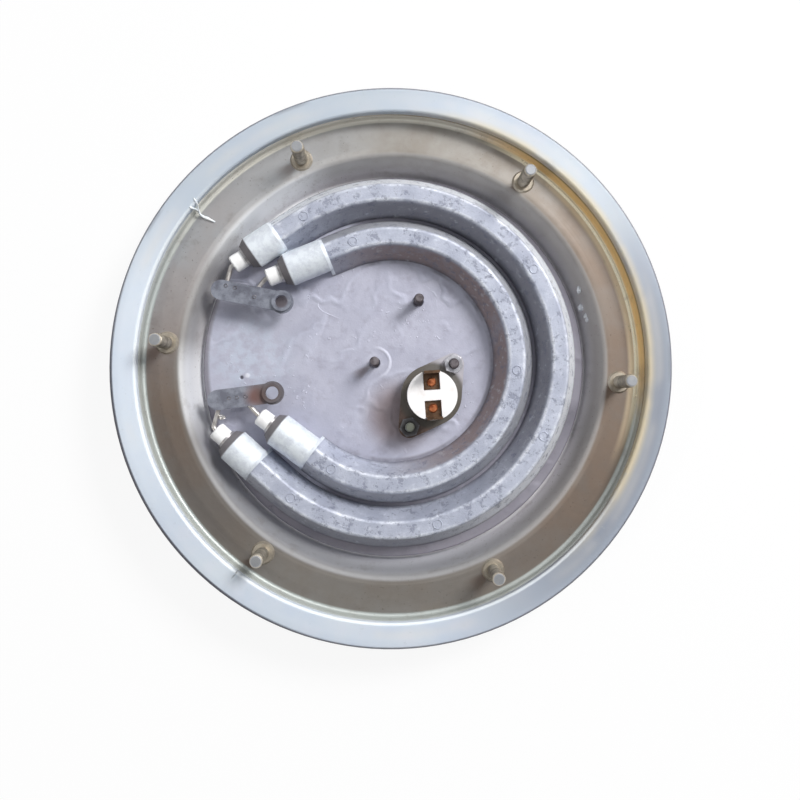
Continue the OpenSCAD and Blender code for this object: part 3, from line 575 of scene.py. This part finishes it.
# Painted shade in the hollow centre of each rivet.
dress(worn_metal("rivet_copper", (226, 142, 96), (184, 106, 66), size=1.5, rough=0.25,
                 tint=[((10.2, -5.9), 0.5, (140, 70, 44)), ((10.9, -13.5), 0.5, (140, 70, 44))]), "terminal_rivets")
dress(worn_metal("bimetal", (176, 162, 130), (150, 136, 104)), "bimetal_disc")
dress(worn_metal("contact_copper", (196, 146, 100), (160, 112, 74)), "contact_blade", "fixed_contact")
dress(worn_metal("coil_wire", (112, 106, 98), (84, 78, 72)), "outer_coil", "inner_coil")
dress(fired_ceramic("magnesia", (230, 226, 216), (208, 202, 190), 0.8), "outer_magnesia", "inner_magnesia")

# %% [markdown]
# ## Threaded studs
# In the solids a stud is a plain rod of its thread's outer diameter. On the real plate the thread shows,
# mostly from the side. One Geometry Nodes tree winds a ridge round a core and stands a copy on each
# point. The M4 clamp studs and the M3 plate studs differ only in the tree's inputs.

# %% A Geometry Nodes tree with named inputs
def new_tree(name, sizes):
    """A tree that takes points, the named sizes and a material, and gives a mesh."""
    tree = bpy.data.node_groups.new(name, "GeometryNodeTree")
    face = tree.interface
    face.new_socket("Points", in_out="INPUT", socket_type="NodeSocketGeometry")
    for label, kind in sizes:
        face.new_socket(label, in_out="INPUT", socket_type=kind)
    face.new_socket("Material", in_out="INPUT", socket_type="NodeSocketMaterial")
    face.new_socket("Mesh", in_out="OUTPUT", socket_type="NodeSocketGeometry")
    graph = Graph(tree)
    source = tree.nodes.new("NodeGroupInput")
    return graph, {s.name: Sock(graph, s) for s in source.outputs if s.name}


def stand_on_points(graph, given, piece, turn=None, scale=None):
    """Ends a tree: one copy of piece on each point, made real and given its material."""
    inputs = {"Points": given["Points"], "Instance": piece}
    if turn is not None:
        inputs["Rotation"] = turn
    if scale is not None:
        inputs["Scale"] = scale
    copies = graph.node("GeometryNodeInstanceOnPoints", inputs=inputs)
    real = graph.node("GeometryNodeRealizeInstances", inputs={0: copies})
    done = graph.node("GeometryNodeSetMaterial", inputs={"Geometry": real, "Material": given["Material"]})
    graph.node("NodeGroupOutput", inputs={0: done})
    return graph.tree


def joined(graph, *pieces):
    """Several meshes as one."""
    join = graph.tree.nodes.new("GeometryNodeJoinGeometry")
    for piece in pieces:
        graph.tree.links.new(piece.socket, join.inputs[0])
    return Sock(graph, join.outputs[0])


def lifted(graph, piece, z):
    """A piece moved up by z."""
    up = graph.node("ShaderNodeCombineXYZ", inputs={2: z})
    return graph.node("GeometryNodeTransform", inputs={"Geometry": piece, "Translation": up})


def any_turn(graph, seed):
    """A turn about the upright axis that differs from copy to copy, the same on each run."""
    return graph.node("FunctionNodeRandomValue", {"data_type": "FLOAT_VECTOR"},
                      {0: (0, 0, 0), 1: (0, 0, 6.283), "Seed": seed})


def grow(name, points, tree, values, material):
    """Runs a tree on points in millimetres and keeps the plain mesh that comes out."""
    mesh = bpy.data.meshes.new(name)
    mesh.from_pydata([[v * MM for v in p] for p in points], [], [])
    piece = bpy.data.objects.new(name, mesh)
    scene.collection.objects.link(piece)
    modifier = piece.modifiers.new("grow", "NODES")
    modifier.node_group = tree
    for item in tree.interface.items_tree:
        if item.item_type == "SOCKET" and item.in_out == "INPUT" and item.name in values:
            modifier[item.identifier] = values[item.name]
        if item.name == "Material":
            modifier[item.identifier] = material
    ready = piece.evaluated_get(bpy.context.evaluated_depsgraph_get())
    plain = bpy.data.meshes.new_from_object(ready)
    piece.modifiers.clear()
    piece.data = plain
    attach(piece, "root")
    print(name, "faces:", len(plain.polygons))
    return piece


# %% The stud tree
def stud_tree():
    """A threaded rod with a tapered tip on an optional collar."""
    number = "NodeSocketFloat"
    g, given = new_tree("threaded_stud", [(n, number) for n in (
        "Diameter", "Pitch", "Length", "Tip", "Collar diameter", "Collar height", "Seed")])
    depth = given["Pitch"] * 0.6
    core_r = given["Diameter"] / 2 - depth
    thread_len = given["Length"] - given["Tip"] * 1.6
    turns = thread_len / given["Pitch"]
    spiral = g.node("GeometryNodeCurveSpiral", inputs={
        "Resolution": 24, "Rotations": turns, "Start Radius": core_r, "End Radius": core_r, "Height": thread_len})
    spiral = g.node("GeometryNodeSetCurveNormal", {"mode": "Z_UP"}, {"Curve": spiral})
    share = g.node("GeometryNodeSplineParameter", out="Factor")
    fade = (share * turns).least((1 - share) * turns).least(1)
    spiral = g.node("GeometryNodeSetCurveRadius", inputs={"Curve": spiral, "Radius": fade})
    diamond = g.node("GeometryNodeCurvePrimitiveCircle", {"mode": "RADIUS"}, {"Resolution": 4, "Radius": 1.0})
    section = g.node("ShaderNodeCombineXYZ", inputs={0: depth, 1: given["Pitch"] * 0.47, 2: 1.0})
    diamond = g.node("GeometryNodeTransform", inputs={"Geometry": diamond, "Scale": section})
    ridge = g.node("GeometryNodeCurveToMesh", inputs={"Curve": spiral, "Profile Curve": diamond, "Fill Caps": True})
    core_len = given["Length"] - given["Tip"]
    core = g.node("GeometryNodeMeshCylinder", inputs={
        "Vertices": 32, "Radius": core_r + depth * 0.12, "Depth": core_len})
    core = lifted(g, core, core_len / 2)
    tip = g.node("GeometryNodeMeshCone", inputs={
        "Vertices": 32, "Radius Bottom": core_r + depth * 0.6, "Radius Top": core_r - given["Tip"] * 0.4,
        "Depth": given["Tip"]})
    tip = lifted(g, tip, core_len)
    collar = g.node("GeometryNodeMeshCone", inputs={
        "Vertices": 48, "Radius Bottom": given["Collar diameter"] / 2,
        "Radius Top": given["Collar diameter"] / 2 - given["Collar height"] * 0.6, "Depth": given["Collar height"]})
    return stand_on_points(g, given, joined(g, ridge, core, tip, collar), any_turn(g, given["Seed"]))


def stud_finish():
    """Warm plated steel with a grey blue flat tip and a brown ring, tinted in welding, round the weld."""
    f = Finish("stud_steel")
    blotch, fine = f.noise(2.5, 4, 0.6), f.noise(0.4, 3, 0.6)
    colour = f.mix(f.level(blotch, 0.3, 0.7), paint(208, 199, 182), paint(150, 141, 128))
    colour = f.mix(f.level(f.z, 25.5, 25.9) * 0.8, colour, paint(158, 163, 172))
    colour = f.mix((1 - f.level(f.z, 11.7, 12.1)) * 0.6, colour, paint(172, 163, 150))
    colour = f.mix(f.level(fine, 0.62, 0.72) * 0.5, colour, paint(84, 74, 62))
    return f.surface(colour, 0.7, 0.3 + fine * 0.2, fine, 0.03)


stud_steel = stud_finish()
post_steel = worn_metal("post_steel", (132, 126, 130), (86, 79, 82), metal=0.6, size=2, rough=0.38,
                        tint=[(FIX_LOW[:2], 2.0, (112, 116, 104))])
tree = stud_tree()
clamp_studs = grow("threaded_clamp_studs", clamp_places, tree, {
    "Diameter": 4 * MM, "Pitch": 0.7 * MM, "Length": 15 * MM, "Tip": 0.5 * MM, "Collar diameter": 7 * MM,
    "Collar height": 0.8 * MM, "Seed": 3.0}, stud_steel)
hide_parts("clamp_studs")
plate_studs = grow("threaded_plate_studs", post_places, tree, {
    "Diameter": 3 * MM, "Pitch": 0.5 * MM, "Length": 9.5 * MM, "Tip": 0.4 * MM, "Collar diameter": 3 * MM,
    "Collar height": 0.3 * MM, "Seed": 5.0}, post_steel)
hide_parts("plate_studs")
over = max(math.hypot(v.co.x / MM - clamp_places[0][0], v.co.y / MM - clamp_places[0][1])
           for v in clamp_studs.data.vertices if v.co.z > 14 * MM
           and abs(v.co.x / MM - clamp_places[0][0]) < 5 and abs(v.co.y / MM - clamp_places[0][1]) < 5)
print("clamp stud is", round(2 * over, 2), "mm over its thread")

# %% [markdown]
# ## Nuts
# A real nut isn't a plain hexagon: a cone has cut its corners at both faces. Row by row from the hole to
# the outside, each point takes the smaller of the hexagon's and the cone's radius. Where the two meet, the
# curved chamfer of a real nut appears by itself.

# %% Chamfered nuts
def nut_rows(height, flats):
    """Height and limiting radius of each row of points, once round the nut's section."""
    corner, washer, bore = flats / 2 / math.cos(math.pi / 6), flats * 0.475, 1.5
    cone = [(0.0, washer), (0.12, washer + 0.2), (0.3, corner + 0.05)]
    up = [(z, r) for z, r in cone] + [(height - z, r) for z, r in reversed(cone)]
    return up + [(height, bore + 0.2), (height - 0.25, bore), (0.25, bore), (0.0, bore + 0.2)]


def nut(middle, low, height, flats, turn, steps=72):
    """Points and faces of one nut that stands on low."""
    rows = nut_rows(height, flats)
    points, faces = [], []
    for z, limit in rows:
        for i in range(steps):
            a = 2 * math.pi * i / steps
            hexagon = flats / 2 / math.cos((a + math.pi / 6) % (math.pi / 3) - math.pi / 6)
            r, b = min(hexagon, limit), a + math.radians(turn)
            points.append(((middle[0] + r * math.cos(b)) * MM, (middle[1] + r * math.sin(b)) * MM, (low + z) * MM))
    for row in range(len(rows)):
        up = (row + 1) % len(rows)
        for i in range(steps):
            j = (i + 1) % steps
            faces.append((row * steps + i, row * steps + j, up * steps + j, up * steps + i))
    return points, faces


def solid(name, parts, material, angle=30):
    """One object from several lists of points and faces, smooth but for its sharp edges."""
    points, faces = [], []
    for some_points, some_faces in parts:
        faces += [tuple(len(points) + i for i in face) for face in some_faces]
        points += some_points
    mesh = bpy.data.meshes.new(name)
    mesh.from_pydata(points, [], faces)
    mesh.polygons.foreach_set("use_smooth", [True] * len(faces))
    mesh.set_sharp_from_angle(angle=math.radians(angle))
    mesh.materials.append(material)
    piece = bpy.data.objects.new(name, mesh)
    scene.collection.objects.link(piece)
    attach(piece, "root")
    print(name, "faces:", len(faces))
    return piece


nut_low, nut_high = [corner[2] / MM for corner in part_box("thermostat_nuts")]
# Painted shade: the lower nut is near black, as in the thermostat's shadow.
nut_metal = worn_metal("nut_steel", (206, 206, 212), (164, 163, 170), metal=0.7, size=1.5, rough=0.3,
                       tint=[(FIX_LOW[:2], 4.6, (34, 30, 27))])
nuts = solid("chamfered_nuts", [nut(FIX_LOW, nut_low, nut_high - nut_low, 5.5, 40),
                                nut(FIX_HIGH, nut_low, nut_high - nut_low, 5.5, 12)], nut_metal)
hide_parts("thermostat_nuts")

# %% [markdown]
# ## Marks of making
# A press left small rings on the elements' crowns and dents on the straps. Soldering left crumbs on the
# step, and a lump on one pin. Both kinds are trees again: a thin ring that is half sunk, and a lump that
# is a ball with noise. A strand of silicone that squeezed out of the seal lies over its inner lip.

# %% Rings and lumps
def ring_tree():
    """A thin ring, half sunk into what carries it."""
    g, given = new_tree("pressed_ring", [(n, "NodeSocketFloat") for n in ("Ring radius", "Bead radius", "Seed")])
    path = g.node("GeometryNodeCurvePrimitiveCircle", {"mode": "RADIUS"},
                  {"Resolution": 32, "Radius": given["Ring radius"]})
    bead = g.node("GeometryNodeCurvePrimitiveCircle", {"mode": "RADIUS"}, {"Resolution": 8, "Radius": given["Bead radius"]})
    ring = g.node("GeometryNodeCurveToMesh", inputs={"Curve": path, "Profile Curve": bead})
    smooth = g.node("GeometryNodeSetShadeSmooth", inputs={0: ring})
    return stand_on_points(g, given, smooth, any_turn(g, given["Seed"]))


def lump_tree():
    """A lump: a ball whose points a noise has moved, flattened, of a size that differs."""
    g, given = new_tree("lump", [(n, "NodeSocketFloat") for n in ("Size", "Flatness", "Seed")])
    ball = g.node("GeometryNodeMeshIcoSphere", inputs={"Radius": given["Size"], "Subdivisions": 4})
    where = g.node("GeometryNodeInputPosition")
    place = g.node("ShaderNodeVectorMath", {"operation": "SCALE"}, {0: where, "Scale": 1.1 / MM})
    noise = g.node("ShaderNodeTexNoise", inputs={"Vector": place, "Scale": 1.0, "Detail": 1.5}, out="Color")
    push = g.node("ShaderNodeVectorMath", {"operation": "SUBTRACT"}, {0: noise, 1: (0.5, 0.5, 0.5)})
    push = g.node("ShaderNodeVectorMath", {"operation": "SCALE"}, {0: push, "Scale": given["Size"] * 1.8})
    lump = g.node("GeometryNodeSetPosition", inputs={"Geometry": ball, "Offset": push})
    lump = g.node("GeometryNodeSetShadeSmooth", inputs={0: lump})
    flat = g.node("ShaderNodeCombineXYZ", inputs={0: 1.0, 1: 0.8, 2: given["Flatness"]})
    lump = g.node("GeometryNodeTransform", inputs={"Geometry": lump, "Scale": flat})
    size = g.node("FunctionNodeRandomValue", {"data_type": "FLOAT"}, {2: 0.65, 3: 1.15, "Seed": given["Seed"]}, 1)
    return stand_on_points(g, given, lump, any_turn(g, given["Seed"]), size)


# %% Marks on crowns, straps, step and pin
rings, lumps = ring_tree(), lump_tree()
pressed = [polar(ELEMENT, OUTER_R, a, CROWN_Z) for a in (32.8, 122.4, -126.1, -74.9, -27.2)]
pressed += [polar(ELEMENT, INNER_R, a, CROWN_Z) for a in (109.3, -119.1, -5.1)]
grow("press_rings", pressed, rings,
     {"Ring radius": 1.35 * MM, "Bead radius": 0.2 * MM, "Seed": 1.0}, sheath_metal)
dents = [(-52.5, 23.7, STRAP_Z), (-49.7, 23.0, STRAP_Z), (-43.8, 20.2, STRAP_Z),
         (-50.9, -10.9, STRAP_Z), (-48.5, -10.7, STRAP_Z), (-45.9, -10.4, STRAP_Z)]
grow("strap_dents", dents, rings, {"Ring radius": 0.5 * MM, "Bead radius": 0.14 * MM, "Seed": 2.0},
     worn_metal("dent_steel", (126, 124, 130), (84, 82, 88), metal=0.5, size=1))
crumb = worn_metal("solder_crumbs", (236, 238, 242), (196, 200, 208), metal=0.2, rough=0.45, size=1)
crumbs = [(58.77, 23.92, 6.35), (61.42, 14.36, 5.4), (59.75, 18.52, 4.1), (61.0, 15.6, 5.2)]
grow("solder_crumbs", crumbs, lumps, {"Size": 1.15 * MM, "Flatness": 0.7, "Seed": 4.0}, crumb)
grow("pin_weld", [(-53.2, -16.8, 9.2)], lumps, {"Size": 1.0 * MM, "Flatness": 0.75, "Seed": 6.0}, pin_metal)
grow("braze_lump", [(-38.9, -44.8, 3.5)], lumps, {"Size": 0.9 * MM, "Flatness": 0.45, "Seed": 8.0}, plate_metal)

# %% A strand of silicone over the inner lip
def strand(path, widths, around=12, between=8):
    """Points and faces of a round strand through the points of a path, closed at both ends."""
    at = np.array(path, float)
    ends = np.vstack([2 * at[0] - at[1], at, 2 * at[-1] - at[-2]])
    line, size = [], []
    for i in range(1, len(ends) - 2):
        for k in range(between + (i == len(ends) - 3)):
            s = k / between
            p0, p1, p2, p3 = ends[i - 1:i + 3]
            line.append(0.5 * (2 * p1 + (p2 - p0) * s + (2 * p0 - 5 * p1 + 4 * p2 - p3) * s * s
                               + (3 * p1 - p0 - 3 * p2 + p3) * s ** 3))
            size.append(widths[i - 1] + (widths[min(i, len(widths) - 1)] - widths[i - 1]) * s)
    line = np.array(line)
    ways = np.gradient(line, axis=0)
    side, points = np.array((0.3, 0.2, 1.0)), []
    for place, way, width in zip(line, ways, size):
        way = way / np.linalg.norm(way)
        side = side - way * side.dot(way)
        side = side / np.linalg.norm(side)
        other = np.cross(way, side)
        for i in range(around):
            a = 2 * math.pi * i / around
            points.append(tuple((place + (side * math.cos(a) + other * math.sin(a)) * width / 2) * MM))
    rows = len(line)
    faces = [(r * around + i, r * around + (i + 1) % around, (r + 1) * around + (i + 1) % around, (r + 1) * around + i)
             for r in range(rows - 1) for i in range(around)]
    faces += [tuple(range(around))[::-1], tuple((rows - 1) * around + i for i in range(around))]
    return points, faces


long_part = strand([(-61.3, 49.3, 17.5), (-60.9, 48.6, 17.5), (-60.6, 48.0, 16.7), (-60.6, 47.2, 15.0), (-60.7, 46.5, 13.5),
                    (-60.3, 45.4, 12.2), (-59.4, 44.8, 11.5), (-58.3, 44.4, 11.4), (-56.0, 43.3, 11.3)],
                   [0.4, 0.6, 0.6, 0.6, 0.7, 0.7, 0.8, 1.0, 0.45])
short_part = strand([(-62.4, 46.6, 17.5), (-61.9, 46.3, 17.0), (-61.2, 46.4, 15.2), (-60.8, 46.4, 13.7)], [0.4, 0.6, 0.6, 0.5])


def strand_silicone():
    """A whiter silicone than the seal's, with a soft cloud of tone."""
    f = Finish("strand_silicone")
    cloud = f.noise(1.2, 3, 0.6)
    colour = f.mix(f.level(cloud, 0.35, 0.65), paint(232, 240, 246), paint(248, 250, 252))
    return f.surface(colour, 0.0, 0.35 + cloud * 0.2, cloud, 0.03)


solid("silicone_strand", [long_part, short_part], strand_silicone(), angle=60)

# %% [markdown]
# ## Floor, backdrop, world and lamp
# A pale table stands in a pale round backdrop. Both show plain white to the camera and in gloss, from their
# own material, so the object isn't lit more for a white background. The room is brighter towards the top of
# the photo, where the window was, and the lamp there draws the soft shadows to the lower left.

# %% Table and backdrop
def stage_paint(name, share, matt_kind, matt_inputs):
    """White of its own to the camera, in gloss and through glass; otherwise a plain shader."""
    material = bpy.data.materials.new(name)
    material.use_nodes = True
    g = Graph(material.node_tree)
    g.tree.nodes.clear()
    path = g.node("ShaderNodeLightPath").socket.node
    seen = Sock(g, path.outputs["Is Camera Ray"]).most(Sock(g, path.outputs["Is Glossy Ray"]))
    seen = seen.most(Sock(g, path.outputs["Is Transmission Ray"]))
    matt = g.node(matt_kind, inputs=matt_inputs)
    white = g.node("ShaderNodeEmission", inputs={"Color": (1, 1, 1, 1), "Strength": 1.0})
    both = g.node("ShaderNodeMixShader", inputs={0: seen * share, 1: matt, 2: white})
    g.node("ShaderNodeOutputMaterial", inputs={"Surface": both})
    return material


def stage_piece(name, points, faces, material):
    """A piece of the stage from points in metres."""
    mesh = bpy.data.meshes.new(name)
    mesh.from_pydata(points, [], faces)
    mesh.materials.append(material)
    piece = bpy.data.objects.new(name, mesh)
    scene.collection.objects.link(piece)
    return piece


reach, drop, tall, sides = 4.0, -0.0003, 2.4, 48
corners = [(x * reach, y * reach, drop) for x, y in ((-1, -1), (1, -1), (1, 1), (-1, 1))]
stage_piece("table", corners, [(0, 1, 2, 3)],
            stage_paint("table", 0.9, "ShaderNodeBsdfDiffuse", {"Color": paint(236, 236, 238)}))
round_wall = [(0.95 * reach * math.cos(2 * math.pi * i / sides), 0.95 * reach * math.sin(2 * math.pi * i / sides), z)
              for z in (drop, tall) for i in range(sides)]
stage_piece("backdrop", round_wall, [(i, (i + 1) % sides, sides + (i + 1) % sides, sides + i) for i in range(sides)],
            stage_paint("backdrop", 1.0, "ShaderNodeBsdfTransparent", {}))

# %% World
world = bpy.data.worlds.new("room")
world.use_nodes = True
scene.world = world
g = Graph(world.node_tree)
g.tree.nodes.clear()
way = g.node("ShaderNodeTexCoord", out="Generated")
window = Vector((0.2, 0.78, 0.55)).normalized()
facing = g.node("ShaderNodeVectorMath", {"operation": "DOT_PRODUCT"}, {0: way, 1: window}, "Value")
shade = g.node("ShaderNodeMapRange", {"interpolation_type": "SMOOTHSTEP"}, {
    "Value": facing, "From Min": 0.2, "From Max": 0.9, "To Min": 0.20, "To Max": 0.80})
room = g.node("ShaderNodeBackground", inputs={"Color": (0.96, 0.98, 1.0, 1.0), "Strength": shade})
g.node("ShaderNodeOutputWorld", inputs={"Surface": room})
print("room made")

# %% Lamp
def lamp(name, place, size, watts, tone=(1.0, 1.0, 1.0)):
    """A square soft lamp in metres that faces the middle of the plate."""
    data = bpy.data.lights.new(name, "AREA")
    data.size, data.energy, data.color = size, watts, tone
    made = bpy.data.objects.new(name, data)
    made.location = place
    made.rotation_euler = (Vector((0, 0, 0.01)) - Vector(place)).to_track_quat("-Z", "Y").to_euler()
    scene.collection.objects.link(made)
    return made


lamp("window", (0.68, 0.60, 0.86), 0.40, 15.0, (1.0, 0.99, 0.97))
lamp("glint", (-0.80, -0.37, 0.88), 0.12, 1.6, (1.0, 0.95, 0.86))
print("lamps made")
